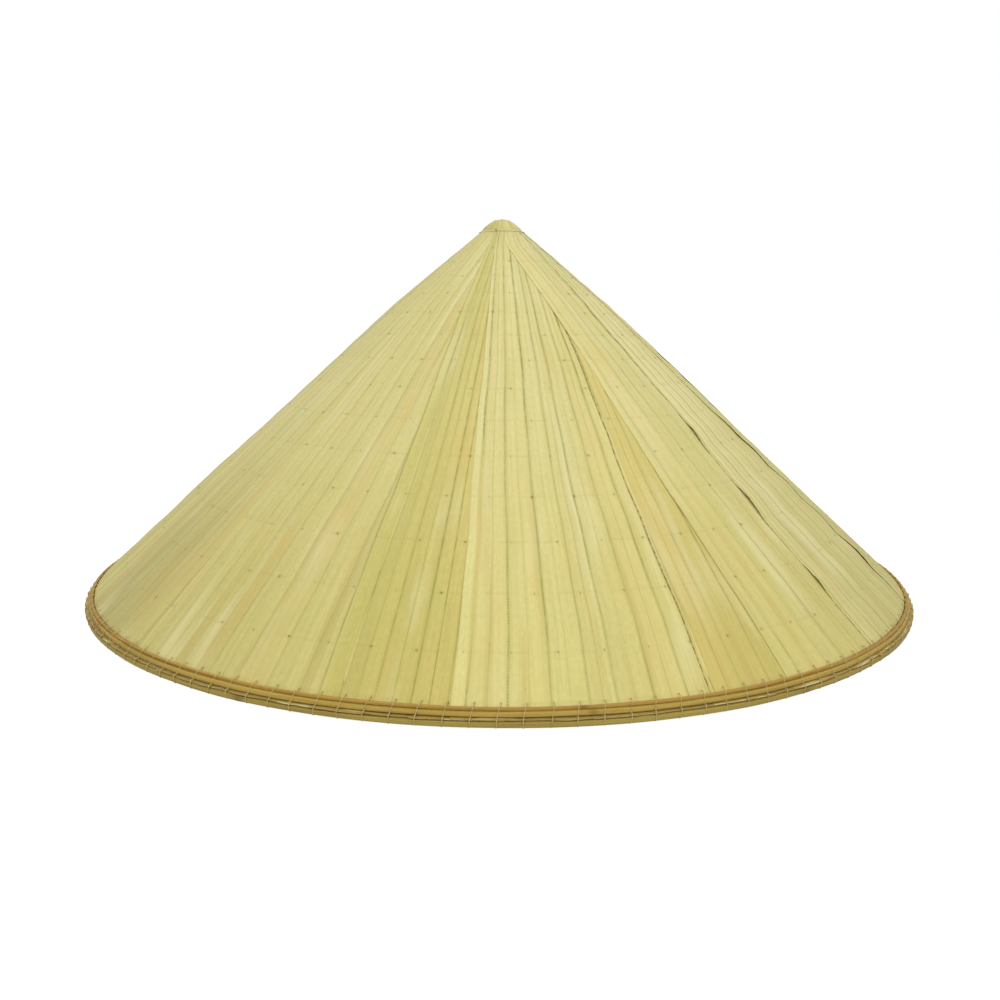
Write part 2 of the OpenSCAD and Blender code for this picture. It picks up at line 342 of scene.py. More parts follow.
def leaf_material(name, outside):
    """Dried palm leaf: veins and fibres that follow the fan, stains, and stitch holes outside. It has
    painted shade on the pleats, round the veins, at the lapped edges and in the stitch holes, and a
    painted highlight beside the edges.
    """
    g = Graph(name)
    u, v, seed = g.split(g.attribute("leaf").outputs["Vector"])
    phase, ring, edge = g.split(g.attribute("sewing").outputs["Vector"])
    ribs, half_ribs, edge_line_and_shadow = g.split(g.attribute("style").outputs["Vector"])
    g.colour = g.attribute("tint").outputs["Color"]
    lot = g.times(seed, 37.0)
    pleat = g.times(g.add(v, FAN_BACK), PLEAT_PER_LENGTH)

    fibres = g.streaks(u, 34.0, v, 26.0, lot, 3.0)
    bands = g.streaks(u, 7.0, v, 9.0, lot)
    clouds = g.streaks(u, 1.1, v, 22.0, lot, 4.0)
    mottle = g.streaks(u, 9.0, v, 420.0, lot, 3.0)
    g.shade(g.ramp(fibres, 0.25, 0.75, 0.95, 1.035))
    g.shade(g.ramp(bands, 0.3, 0.7, 0.975, 1.022))
    g.shade(g.ramp(mottle, 0.3, 0.7, 0.96, 1.03))
    g.recolour(g.ramp(clouds, 0.52, 0.75, 0.0, 0.45), (208, 184, 108))
    g.recolour(g.ramp(clouds, 0.48, 0.27, 0.0, 0.38), (194, 190, 108))
    worn = g.ramp(g.streaks(u, 0.7, v, 11.0, lot, 3.0), 0.52, 0.70, 0.0, 0.5)
    g.recolour(worn, (222, 214, 162))
    aged = g.ramp(g.streaks(u, 2.3, v, 7.0, lot), 0.5, 0.68, 0.0, 0.42)
    aged = g.times(aged, g.ramp(v, 0.13, 0.28))
    g.recolour(aged, (178, 156, 82))

    # Each pleat has its own slight tone, and is a little darker on its left, which is painted shade of
    # its fold
    own = g.math("FLOOR", u)
    tone = g.chance(own, g.times(seed, 91.0))
    g.shade(g.ramp(tone, 0.0, 1.0, 0.966, 1.022))
    warm = g.chance(own, g.times(seed, 67.0))
    g.recolour(g.ramp(warm, 0.6, 0.9, 0.0, 0.25), (212, 190, 116))
    # Painted shade: darker towards the left side of each pleat, as light falls on the fold
    g.shade(g.ramp(g.math("FRACT", u), 0.0, 0.6, 0.98, 1.008))

    def line(offset, width, soft, lot_shift, weakest):
        """A vein on each pleat, this far across it: how strong it is here."""
        place = g.add(u, 0.5 - offset)
        near = g.math("FLOOR", place)
        away = g.times(g.math("ABSOLUTE", g.from_half(place)), pleat)
        core = g.ramp(away, width * MM, (width + soft) * MM, 1.0, 0.0)
        own = g.chance(g.add(near, lot_shift), g.times(seed, 53.0))
        dashes = g.ramp(g.streaks(near, 3.1, v, 190.0, lot), 0.36, 0.6, 0.55, 1.0)
        slow = g.ramp(g.streaks(near, 5.7, v, 17.0, lot, 1.0), 0.3, 0.6, 0.45, 1.0)
        bead = g.math("ABSOLUTE", g.from_half(g.times(v, 800.0)))
        dotted = g.ramp(g.chance(near, lot_shift + 3.0), 0.5, 0.6)
        beads = g.minus(1.0, g.times(dotted, g.ramp(bead, 0.18, 0.36, 0.0, 0.5)))
        strength = g.times(g.ramp(own, 0.0, 1.0, weakest, 1.0), g.times(dashes, slow))
        return g.times(core, g.times(strength, beads)), away

    major, away = line(0.0, 0.13, 0.38, 0.0, 0.55)
    minor, minor_away = line(0.5, 0.09, 0.32, 11.0, 0.3)
    third, _ = line(0.27, 0.03, 0.24, 23.0, 0.0)
    fourth, _ = line(0.76, 0.03, 0.24, 37.0, 0.0)
    # A soft darker band on both sides of the veins: partly their own green, partly painted shade of
    # the crease
    vein_tint_and_shade = g.add(
        g.times(g.ramp(away, 0.1 * MM, 1.6 * MM, 0.26, 0.0), ribs),
        g.times(g.ramp(minor_away, 0.1 * MM, 1.1 * MM, 0.2, 0.0), half_ribs),
    )
    g.recolour(vein_tint_and_shade, (164, 158, 76))
    g.recolour(g.times(g.times(major, 0.8), ribs), (114, 124, 12))
    g.recolour(g.times(g.times(minor, 0.8), half_ribs), (124, 122, 22))
    g.recolour(g.times(g.add(third, fourth), 0.2), (150, 132, 66))

    # Brown specks and small scars
    speck = g.streaks(u, 16.0, v, 420.0, g.add(lot, 5.0), 1.0)
    g.recolour(g.ramp(speck, 0.76, 0.86, 0.0, 0.5), (140, 110, 50))

    # The cut edge of the leaf: a dark line, dotted like a bitten hem, partly its own brown and partly
    # painted shadow, with a paler band beside it, partly rubbed wear and partly painted highlight
    nibble = g.ramp(g.noise(g.join(seed, g.times(v, 330.0), lot), 2.0), 0.38, 0.6, 0.35, 1.0)
    # Painted shadow along the raised left edge, mixed with the edge's own brown
    edge_brown_and_shadow = g.times(g.ramp(edge, 0.3 * MM, 0.7 * MM, 0.9, 0.0), g.times(nibble, edge_line_and_shadow))
    g.recolour(edge_brown_and_shadow, (104, 92, 34))
    # Painted highlight beside the edge, partly rubbed wear
    rub_and_highlight = g.times(
        g.ramp(edge, 0.4 * MM, 0.7 * MM, 0.0, 1.0), g.ramp(edge, 1.0 * MM, 3.0 * MM, 1.0, 0.0)
    )
    g.recolour(g.times(rub_and_highlight, 0.12), (222, 213, 152))

    # The trimmed ends at the rim are brown with age, and show pale broken fibre here and there
    cut = g.ramp(v, TURN_SLANT - 0.4 * MM, EDGE_SLANT - 0.9 * MM)
    broken = g.streaks(u, 0.9, v, 240.0, g.add(lot, 9.0))
    g.recolour(g.times(cut, 0.8), (172, 142, 78))
    g.recolour(g.times(cut, g.ramp(broken, 0.55, 0.65, 0.0, 0.75)), (224, 208, 150))
    relief = g.add(g.add(g.times(fibres, 0.35), g.times(bands, 0.3)), g.times(mottle, 0.25))
    relief = g.minus(relief, g.times(g.add(g.times(major, ribs), g.times(minor, 0.5)), 0.4))
    if outside:
        relief = stitch_marks(g, relief, phase, ring, v)
    return g.finish(g.ramp(fibres, 0.2, 0.8, 0.44, 0.62), relief, 0.16 * MM, 0.3)


def stitch_marks(g, relief, phase, ring, v):
    """A small hole at each stitch, painted dark as its shadow, with a softer darker ring round it,
    and a faint line of painted shade along each row of stitches, as of a hollow. Returns the relief
    with the holes in it."""
    along = g.times(g.from_half(phase), STITCH_PITCH)
    away = g.math("SQRT", g.add(g.math("POWER", along, 2.0), g.math("POWER", ring, 2.0)))
    own = g.chance(g.math("FLOOR", phase), g.math("FLOOR", g.times(v, 100.0)))
    own = g.ramp(own, 0.4, 0.95, 0.15, 1.0)
    # The hole is painted dark as its shadow; the ring round it is only a darker colour
    hole = g.times(g.ramp(away, 0.16 * MM, 0.5 * MM, 1.0, 0.0), own)
    recolour = g.times(g.ramp(away, 0.3 * MM, 1.6 * MM, 0.22, 0.0), own)
    broken = g.ramp(g.streaks(phase, 2.3, v, 60.0, 3.0), 0.4, 0.65)
    # Painted shade along each row of stitches, as of a hollow there
    groove = g.times(g.ramp(ring, 0.1 * MM, 0.8 * MM, 0.16, 0.0), broken)
    g.recolour(groove, (168, 152, 80))
    g.recolour(recolour, (150, 130, 62))
    g.recolour(g.times(hole, 0.6), (116, 94, 36))
    return g.minus(relief, g.times(hole, 1.2))


def bamboo_material(name, light, dark, knot, streak):
    """Split bamboo: long fibres, brown streaks and darker knots."""
    g = Graph(name)
    along, across, seed = g.split(g.attribute("grain").outputs["Vector"])
    joint = g.attribute("knot").outputs["Fac"]
    lot = g.times(seed, 19.0)
    fine = g.streaks(along, 45.0, across, 34.0, lot, 4.0, 0.6)
    broad = g.streaks(along, 14.0, across, 5.0, lot)
    dust = g.streaks(along, 900.0, across, 20.0, lot)
    g.colour = linear(*light)
    g.recolour(g.ramp(broad, 0.35, 0.7), dark)
    g.recolour(g.ramp(fine, 0.5, 0.74, 0.0, streak), knot)
    g.shade(g.ramp(fine, 0.48, 0.2, 1.0, 1.12))
    g.shade(g.ramp(dust, 0.3, 0.7, 0.94, 1.04))
    g.recolour(g.times(joint, 0.65), knot)
    relief = g.add(g.times(fine, 0.7), g.times(dust, 0.15))
    return g.finish(g.ramp(fine, 0.2, 0.8, 0.38, 0.58), relief, 0.14 * MM, 0.4)


def thread_material(name, light, dark):
    """Twisted thread: slanting strands, darker between them."""
    g = Graph(name)
    along, across, lay = g.split(g.attribute("twist").outputs["Vector"])
    strands = g.math("SINE", g.times(g.add(across, g.math("DIVIDE", along, lay)), TURN))
    fluff = g.streaks(along, 1500.0, across, 6.0, 0.0)
    worn = g.noise(g.join(g.times(along, 130.0), 0.0, 1.0))
    g.colour = linear(*light)
    g.recolour(g.ramp(strands, -1.0, 0.2, 0.8, 0.0), dark)
    g.recolour(g.ramp(worn, 0.5, 0.8, 0.0, 0.6), dark)
    g.shade(g.ramp(fluff, 0.3, 0.7, 0.92, 1.05))
    return g.finish(g.ramp(fluff, 0.3, 0.7, 0.6, 0.8), strands, 0.03 * MM, 0.3)


# ------------ mesh helpers

def in_scene(name, data):
    """A new object in the scene."""
    thing = bpy.data.objects.new(name, data)
    bpy.context.scene.collection.objects.link(thing)
    return thing


def sharpen_border(mesh):
    """Marks the free edges sharp, so that a leaf keeps crisp edges when it's made thick."""
    used = np.zeros(len(mesh.loops), np.int32)
    mesh.loops.foreach_get("edge_index", used)
    free = np.bincount(used, minlength=len(mesh.edges)) == 1
    mesh.edges.foreach_set("use_edge_sharp", free)


# For each number of values at a point: the attribute's type and the field that holds them
ATTRIBUTE_KINDS = {1: ("FLOAT", "value"), 3: ("FLOAT_VECTOR", "vector"), 4: ("FLOAT_COLOR", "color")}


def mesh_object(name, points, faces, values, material, nodes, thick=0):
    """A smooth mesh piece that rides on the hat's one body and stands for these CAD nodes."""
    mesh = bpy.data.meshes.new(name)
    points = np.reshape(points, (-1, 3))
    mesh.from_pydata([tuple(p) for p in points], [], faces)
    for label, data in values.items():
        data = np.asarray(data, np.float32)
        kind, field = ATTRIBUTE_KINDS[data.size // len(points)]
        layer = mesh.attributes.new(label, kind, "POINT")
        layer.data.foreach_set(field, data.ravel())
    mesh.validate()
    mesh.shade_smooth()
    mesh.materials.append(material)
    piece = in_scene(name, mesh)
    if thick:
        sharpen_border(mesh)
        solid = piece.modifiers.new("thickness", "SOLIDIFY")
        solid.thickness = thick
        solid.offset = -1
        solid.use_rim = True
    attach(piece, "root")
    if nodes:
        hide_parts(*nodes)


def quads(index):
    """The four point numbers of each cell in a grid of them."""
    cells = np.stack([index[:-1, :-1], index[1:, :-1], index[1:, 1:], index[:-1, 1:]], -1)
    return [tuple(cell) for cell in cells.reshape(-1, 4).tolist()]


def sleeve(rows, sides, closed=False):
    """Faces between rows of points that each go once round a tube."""
    index = np.arange(rows * sides).reshape(rows, sides)
    return quads(np.pad(index, ((0, int(closed)), (0, 1)), "wrap"))


def tube(path, radius, sides=8, closed=False, lay=1.1 * MM):
    """A round tube along a path, with its strand coordinates. An open one has closed ends."""
    path = np.asarray(path, float)
    n = len(path)
    ahead = np.roll(path, -1, 0) - np.roll(path, 1, 0)
    if not closed:
        ahead[0], ahead[-1] = path[1] - path[0], path[-1] - path[-2]
    ahead /= np.linalg.norm(ahead, axis=1)[:, None]
    across = np.zeros((n, 3))
    first = np.cross(ahead[0], (0.3, 0.5, 0.81))
    across[0] = first / np.linalg.norm(first)
    for i in range(1, n):
        side = across[i - 1] - ahead[i] * np.dot(across[i - 1], ahead[i])
        across[i] = side / np.linalg.norm(side)
    other = np.cross(ahead, across)
    turn = (np.arange(sides) * TURN / sides)[:, None]
    ring = across[:, None] * np.cos(turn) + other[:, None] * np.sin(turn)
    points = (path[:, None] + ring * radius).reshape(-1, 3)
    length = running_sum(np.linalg.norm(np.diff(path, axis=0), axis=1))
    faces = [(a, d, c, b) for a, b, c, d in sleeve(n, sides, closed)]
    if not closed:
        faces.append(tuple(range(sides - 1, -1, -1)))
        faces.append(tuple(range((n - 1) * sides, n * sides)))
    twist = side_by_side(length[:, None], np.arange(sides) / sides, lay)
    return points, faces, twist.reshape(-1, 3)


def thread_piece(name, tubes, material, nodes):
    """One piece made of these tubes."""
    faces, count = [], 0
    for points, own_faces, _ in tubes:
        faces += [tuple(i + count for i in face) for face in own_faces]
        count += len(points)
    points = np.concatenate([t[0] for t in tubes])
    values = {"twist": np.concatenate([t[2] for t in tubes])}
    mesh_object(name, points, faces, values, material, nodes)


# ------------ leaves

STRAW = (210, 200, 134)
PALE = (213, 204, 137)
OLIVE = (201, 192, 115)
TAN = (213, 196, 120)
CREAM = (218, 209, 148)
DULL = (217, 208, 143)
WHITISH = (224, 216, 156)
MILKY = (214, 206, 142)
SANDY = (211, 200, 131)


def blend(first, second, part):
    """Linear colours from the first sRGB one, where the part is 0, to the second."""
    part = part[..., None]
    return np.array(linear(*first)) * (1 - part) + np.array(linear(*second)) * part


class Look:
    """Colours of a leaf at its left and right side, how dark each side is at the rim, its main
    veins, those between them, and how dark the line at its left edge is: that line is partly the
    edge's own brown and partly painted shadow."""

    def __init__(self, left, right, rims, ribs, half_ribs, edge, offset, lifts, stray=1.0):
        self.left, self.right, self.rims = left, right, rims
        self.style = (ribs, half_ribs, edge)
        self.offset, self.lifts, self.stray = offset * MM, lifts, stray


# The leaves of the front, in order from the left. An offset is how far the line of a leaf's
# left edge passes the apex. A lift is a stretch of edge that stands up: its slant, its length
# and its height, in millimetres. The last number is how much more than usual an edge strays.
FRONT_LOOKS = [
    Look(DULL, STRAW, (0.64, 0.83), 0.45, 0.3, 0.1, 0, [(200, 60, 0.4)]),
    Look(STRAW, STRAW, (0.84, 0.91), 0.35, 0.25, 0.05, 0, [(150, 70, 0.1)]),
    Look(OLIVE, TAN, (0.90, 0.86), 0.80, 0.7, 0.05, 0, [(230, 50, 0.1)]),
    Look(MILKY, SANDY, (0.97, 0.92), 1.00, 0.4, 0.10, -2, [(120, 80, 0.1)]),
    Look(TAN, OLIVE, (0.86, 0.82), 0.75, 0.4, 0.9, 7.5, [(125, 40, 0.3), (230, 60, 0.2)], 1.5),
    Look(STRAW, STRAW, (0.88, 0.86), 0.45, 0.2, 0.10, -10.5, [(250, 30, 0.1)]),
    Look(
        WHITISH, STRAW, (0.76, 0.80), 1.00, 0.4, 0.8, 0.4,
        [(162, 14, 0.9), (203, 18, 1.1), (246, 12, 0.8)], 3,
    ),
    Look(STRAW, OLIVE, (0.86, 0.84), 0.95, 0.5, 0.7, 2, [(170, 40, 0.5), (250, 20, 0.4)], 2),
]


# Between which values the rim's darkness, both kinds of veins and the edge line vary elsewhere
LOOK_SPANS = [(0.87, 0.97), (0.4, 1.0), (0.25, 0.8), (0.1, 0.9)]


def back_looks(count):
    """Looks of the leaves that the front doesn't show."""
    draw = np.random.RandomState(7)
    colours = [STRAW, PALE, OLIVE, TAN, STRAW, CREAM, DULL]
    looks = []
    for _ in range(count):
        left, right = (colours[draw.randint(len(colours))] for _ in range(2))
        lift = (draw.uniform(90, 240), draw.uniform(30, 80), draw.uniform(0.3, 1.2))
        rim, ribs, half_ribs, edge = (draw.uniform(*span) for span in LOOK_SPANS)
        looks.append(Look(left, right, (rim, rim), ribs, half_ribs, edge, draw.uniform(-6, 6), [lift]))
    return looks


class Edge:
    """The left edge of a leaf: a straight line on the cover rolled out flat."""

    EASE = 30 * MM

    def __init__(self, bearing, offset=0.0, stray=1.0):
        self.offset, self.stray = offset, stray
        self.direction = bearing * FLAT - math.asin(offset / EDGE_SLANT)
        self.waves = 40 * bearing

    def wobble(self, slant):
        """How far the hand-laid edge strays from its line, as a bearing."""
        long = 0.30 * np.sin(slant / (21 * MM) + self.waves)
        short = 0.13 * np.sin(slant / (7 * MM) - self.waves)
        reach = self.stray * smooth(slant, 40 * MM, 120 * MM) * MM
        return (long + short) * reach / (slant * FLAT)

    def bearing(self, slant):
        lean = self.offset / np.maximum(slant, self.EASE)
        return (self.direction + np.arcsin(lean)) / FLAT + self.wobble(slant)


# How far a leaf reaches over the next one, its thickness, and how high it rises over a neighbour
LAP = math.radians(5)
LEAF_THICK = 0.17 * MM
LAP_RISE = 0.2 * MM
# Slant at which the leaves start, under the tip cap
LEAF_TOP = 8.5 * MM


def leaf_slants():
    """Rows of the leaf meshes: close together at the hoops and at the rim."""
    beside = 1.3 * MM
    rows = [LEAF_TOP, 11 * MM, 14 * MM, 17 * MM]
    for n, at in enumerate(HOOP_SLANTS):
        rows += [at - beside, at, at + beside]
        end = HOOP_SLANTS[n + 1] if n + 1 < len(HOOP_SLANTS) else HOLE_SLANT - beside
        inside = max(1, round((end - at) / (5.5 * MM)) - 1)
        free = (end - at) - 2 * beside
        rows += [at + beside + free * k / (inside + 1) for k in range(1, inside + 1)]
    rows += [HOLE_SLANT - beside, HOLE_SLANT]
    for bend in (BEND_SLANT, TURN_SLANT):
        rows += [bend - ROUND_OFF, bend, bend + ROUND_OFF]
    return np.array(rows + [TURN_SLANT + 1.6 * MM, EDGE_SLANT])


ROWS = leaf_slants()

# Slow swells of the sewn cover: how many waves go round it, their lean down the slope, phase
SWELLS = [(3, 40, 0.4), (7, 65, 2.1), (13, 31, 4.0), (22, 52, 1.3), (37, 24, 5.2)]


def swell(bearing, slant):
    """How far the cover stands out, from 0 to about 1 mm: least on the hoops."""
    wave = sum(np.sin(n * bearing + slant / (lean * MM) + phase) for n, lean, phase in SWELLS)
    wave = 0.5 + 0.5 * wave / 2.6
    hoops = np.array(HOOP_SLANTS + [BEND_SLANT])
    place = np.interp(slant, hoops, np.arange(len(hoops)))
    between = np.sin(math.pi * place) ** 2
    loose = 0.32 + 0.75 * smooth(np.cos(bearing - math.radians(62)), 0.93, 1.0)
    rim = 1 - smooth(slant, BEND_SLANT - 14 * MM, BEND_SLANT - 1 * MM)
    tip = smooth(slant, 14 * MM, 40 * MM)
    return loose * np.clip(wave, 0, 1) * (0.25 + 0.75 * between) * rim * tip * MM


def ring_place(bearing, slant):
    """For each point: how far round its nearest stitch ring it is, in stitches, and its
    distance from that ring."""
    rings = np.array(HOOP_SLANTS + [HOLE_SLANT])
    nearest = np.abs(slant[..., None] - rings).argmin(-1)
    counts = np.array([stitch_count(n) for n in range(len(HOOPS))] + [BIND_TURNS])
    firsts = np.array([0.25 + 0.5 * (n % 2) for n in range(len(HOOPS))] + [HOLE_LEAD / BIND_PITCH])
    phase = bearing / TURN * counts[nearest] - firsts[nearest] + 0.5
    return phase, np.abs(slant - rings[nearest])


def fan(edge, slant, spread):
    """Bearings where the fan's rays, at these angles from the leaf's own edge, meet the slants."""
    side, back = edge.offset, -FAN_BACK
    toward = side * np.sin(spread) + back * np.cos(spread)
    room = np.maximum(toward**2 - side**2 - back**2 + slant**2, 0)
    reach = -toward + np.sqrt(room)
    u, v = side + reach * np.sin(spread), back + reach * np.cos(spread)
    own = np.arcsin(np.clip(edge.offset / slant, -0.95, 0.95))
    eased = np.arcsin(edge.offset / np.maximum(slant, Edge.EASE))
    return (edge.direction + np.arctan2(u, v) + eased - own) / FLAT


# Where the mesh has its columns across a pleat, closest together at the vein
PLEAT_STEPS = (0.0, 0.045, 0.16, 0.38, 0.62, 0.84, 0.955)


def pleat_columns(edge, limit, draw):
    """Across positions in pleats, and their angles in the fan, as far as the right-hand limit."""
    first = draw.uniform(0.15, 0.9)
    jitter = draw.uniform(-0.17, 0.17, 60)

    def angle(u):
        shift = np.interp(u, np.arange(60), jitter) - np.interp(first, np.arange(60), jitter)
        return PLEAT_PER_LENGTH * (u - first + shift)

    marks = [m + f for m in range(40) for f in PLEAT_STEPS if m + f > first + 0.09]
    marks = [first, first + 0.07] + marks
    end = limit.bearing(EDGE_SLANT) + LAP
    u = np.array(marks)
    reach = fan(edge, np.array([[EDGE_SLANT]]), angle(u)[None, :])[0]
    last = int(np.searchsorted(reach, end)) + 1
    return u[:last], angle(u[:last])


def pleat_relief(u, slant):
    """Height of the pressed pleats: flat folds, a groove at each vein."""
    within = u % 1
    fold = np.where(np.floor(u) % 2 == 0, 1.0, -1.0) * (0.5 - within) * 0.16
    belly = 4 * within * (1 - within) * 0.10
    groove = -0.13 * np.exp(-((np.minimum(within, 1 - within) / 0.03) ** 2))
    size = smooth(slant, 15 * MM, 90 * MM) * (1 - smooth(slant, BEND_SLANT - 8 * MM, BEND_SLANT))
    return (fold + belly + groove) * size * MM


class Layer:
    """Outer or inner leaves: their depth and where they end. On the inside everything is
    mirrored, so the hand turns bearings round."""

    def __init__(self, hand, depth, edge_slant, material, slot):
        self.hand, self.depth = hand, depth
        self.edge_slant, self.material, self.slot = edge_slant, material, slot


def leaf(name, node, layer, look, edges, seed):
    """One leaf. The edges are those of the two leaves before it, its own and the next one's."""
    draw = np.random.RandomState(seed)
    before_last, before, own, following = edges
    u, spread = pleat_columns(own, following, draw)
    slant, across = np.meshgrid(ROWS, u, indexing="ij")
    bearing = fan(own, slant, np.broadcast_to(spread, slant.shape))
    part = np.clip((across - u[0]) / (u[-1] - u[0]), 0, 1)
    bearing += own.wobble(slant) * (1 - part) + following.wobble(slant) * part
    limit = np.maximum(following.bearing(slant) + LAP, own.bearing(slant) + 0.2 * LAP)
    kept = bearing < limit
    bearing = np.minimum(bearing, limit)
    radius = np.interp(slant, LINE[0], LINE[1])
    from_edge = (bearing - own.bearing(slant)) * radius

    def rise_over(left_edge, right_edge):
        start = left_edge.bearing(slant)
        end = np.maximum(right_edge.bearing(slant) + LAP, start)
        inside = smooth((bearing - start) * radius, -4 * MM, 0)
        return inside * (1 - smooth((bearing - end) * radius, 0, 7 * MM))

    stack = rise_over(before, own) + rise_over(before_last, before)
    fastened = 1 - smooth(slant, BEND_SLANT - 22 * MM, BEND_SLANT - 4 * MM)
    lift = np.zeros_like(slant)
    for at, length, height in look.lifts:
        lift += height * MM * np.exp(-(((slant - at * MM) / (length * MM / 2)) ** 2))
    lift *= np.exp(-from_edge / (6 * MM)) * fastened
    shape = stack * LAP_RISE + lift + pleat_relief(across, slant)
    side = layer.hand
    actual = side * bearing
    depth = layer.depth - side * shape - swell(actual, slant)
    snips = draw.uniform(-1, 1, len(u) // 3 + 2)
    ragged = np.interp(np.arange(len(u)) / 3, np.arange(len(snips)), snips)
    place = slant.copy()
    place[-1] = layer.edge_slant - 0.35 * MM + ragged * 0.5 * MM
    flat_radius, height = on_cover(place, depth)

    # The columns past the right-hand limit are cut off, row by row
    columns = len(u)
    index = np.arange(slant.size).reshape(slant.shape)
    first_cut = np.minimum(kept.sum(1), columns - 1)
    for row, cut in enumerate(first_cut):
        index[row, cut:] = index[row, cut]
    faces = [tuple(dict.fromkeys(cell)) for cell in quads(index)]
    faces = [face[::side] for face in faces if len(face) > 2]
    used = np.zeros(slant.shape, bool)
    used.flat[[c for face in faces for c in face]] = True
    renumber = np.cumsum(used) - 1
    faces = [tuple(int(renumber[c]) for c in face) for face in faces]

    tint = blend(look.left, look.right, part)
    part = part[..., None]
    browner = smooth(slant, 120 * MM, 285 * MM)[..., None]
    at_rim = look.rims[0] * (1 - part) + look.rims[1] * part
    at_edge = at_rim * np.array([1.0, 0.985, 0.82, 0.0]) + np.array([0.0, 0.0, 0.0, 1.0])
    tint = tint * (1 - browner + browner * at_edge)
    phase, ring = ring_place(actual, slant)
    values = {
        "leaf": side_by_side(across, slant, seed / 50)[used],
        "sewing": side_by_side(phase, ring, from_edge)[used],
        "tint": tint[used],
        "style": np.tile(look.style, (int(used.sum()), 1)),
    }
    points = around(actual, flat_radius, height)[used]
    mesh_object(name, points, faces, values, layer.material, [node], LEAF_THICK)


def make_outer_leaves():
    looks = FRONT_LOOKS + back_looks(len(OUTER_NODES) - len(FRONT_LOOKS))
    edges = [
        Edge(bearings_of(n)[0], look.offset, look.stray) for n, look in zip(OUTER_NODES, looks)
    ]
    shade = leaf_material("palm_leaf", True)
    layer = Layer(1, 0.30 * MM, EDGE_SLANT, shade, "outer_leaf")
    build_layer(layer, OUTER_NODES, looks, edges, 0)
    return shade


def turned(edge, turns):
    """The same edge a whole number of turns further round."""
    copy = Edge(0, edge.offset, edge.stray)
    copy.direction = edge.direction + turns * TURN * FLAT
    copy.waves = edge.waves
    return copy


def build_layer(layer, nodes, looks, edges, first_seed):
    count = len(nodes)
    order = [e.direction for e in edges]
    for n, node in enumerate(nodes):
        group = []
        for k in (n - 2, n - 1, n, n + 1):
            edge = edges[k % count]
            expected = order[n] + (k - n) * TURN * FLAT / count
            group.append(turned(edge, round((expected - edge.direction) / (TURN * FLAT))))
        leaf(f"leaf_{node}", node, layer, looks[n], group, first_seed + n)


def make_inner_leaves():
    draw = np.random.RandomState(11)
    looks, edges = [], []
    for node in INNER_NODES[::-1]:
        colour = [STRAW, DULL, PALE, CREAM][draw.randint(4)]
        lift = (draw.uniform(80, 250), draw.uniform(20, 50), draw.uniform(0.0, 0.05))
        rim, ribs, half_ribs, edge = (draw.uniform(*span) for span in LOOK_SPANS)
        looks.append(Look(colour, DULL, (rim, rim), ribs, half_ribs, edge, 0, [lift]))
        edges.append(Edge(-bearings_of(node)[1]))
    inner = leaf_material("palm_leaf_inside", False)
    layer = Layer(-1, 0.87 * MM, EDGE_SLANT - 0.6 * MM, inner, "inner_leaf")
    build_layer(layer, INNER_NODES[::-1], looks, edges, 60)


# ------------ bamboo hoops and rim strips

def along_noise(draw, length, spacing):
    """A smooth random function of the distance along a strip, from -1 to 1."""
    values = draw.uniform(-1, 1, max(4, int(length / spacing)) + 2)
    values[-1] = values[0]
    return lambda at: np.interp(at / length * (len(values) - 1), np.arange(len(values)), values)


def bamboo_ring(name, node, ring, joint, overlap, squareness, sides, step, material, seed):
    """A split bamboo strip bent into a ring. Its thinned ends lie on each other at the joint."""
    draw = np.random.RandomState(seed)
    length = TURN * ring.radius + overlap
    count = max(64, int(length / step))
    at = np.linspace(0, length, count)
    bearing = joint + (at - overlap / 2) / ring.radius
    thinnest = 0.1
    start, end = (thinnest + (1 - thinnest) * smooth(x, 0, overlap) for x in (at, length - at))
    shift = ((1 - end) - (1 - start)) / 2
    knots = np.cumsum(draw.uniform(150, 250, 12)) * MM
    from_knot = np.abs(at[:, None] - knots[None, :]).min(1)
    swelling = 1 + 0.07 * np.exp(-((from_knot / (1.6 * MM)) ** 2))
    uneven = [along_noise(draw, length, 25 * MM)(at) for _ in range(4)]
    width = ring.width * start * end * swelling * (1 + 0.05 * uneven[0])
    thick = ring.thick * swelling * (1 + 0.05 * uneven[1])
    radius = ring.radius + shift * ring.width + 0.1 * MM * uneven[2]
    height = ring.height + 0.1 * MM * uneven[3]
    turn = (np.arange(sides) + 0.5) * TURN / sides
    power = 2 / squareness
    across, up = (np.sign(x) * np.abs(x) ** power / 2 for x in (np.cos(turn), np.sin(turn)))
    points = around(
        bearing[:, None],
        radius[:, None] + width[:, None] * across,
        height[:, None] + thick[:, None] * up,
    )
    faces = [tuple(range(sides)), tuple(range(count * sides - 1, (count - 1) * sides - 1, -1))]
    faces += sleeve(count, sides)
    knot = np.exp(-((from_knot / (0.8 * MM)) ** 2)) + 0.35 * np.exp(-((from_knot / (4 * MM)) ** 2))
    round_it = np.abs(np.linspace(-1, 1, sides, endpoint=False))
    grain = side_by_side(at[:, None], round_it, seed / 10)
    values = {"grain": grain, "knot": np.repeat(np.minimum(knot, 1), sides)}
    mesh_object(name, points, faces, values, material, [node])


def joint_of(node):
    """Bearing of the gap between the two ends of a CAD ring."""
    points = corners(node)
    angle = np.sort(np.arctan2(points[:, 0], -points[:, 1]))
    gaps = np.diff(np.append(angle, angle[0] + TURN))
    widest = gaps.argmax()
    return angle[widest] + gaps[widest] / 2


def make_hoops():
    material = bamboo_material("bamboo_hoop", (206, 178, 108), (188, 152, 84), (136, 98, 46), 0.45)
    for n, node in enumerate(HOOP_NODES):
        bamboo_ring(
            f"bamboo_{node}", node, HOOPS[n], joint_of(node), 20 * MM, 2.3, 10, 3.5 * MM,
            material, 100 + n,
        )


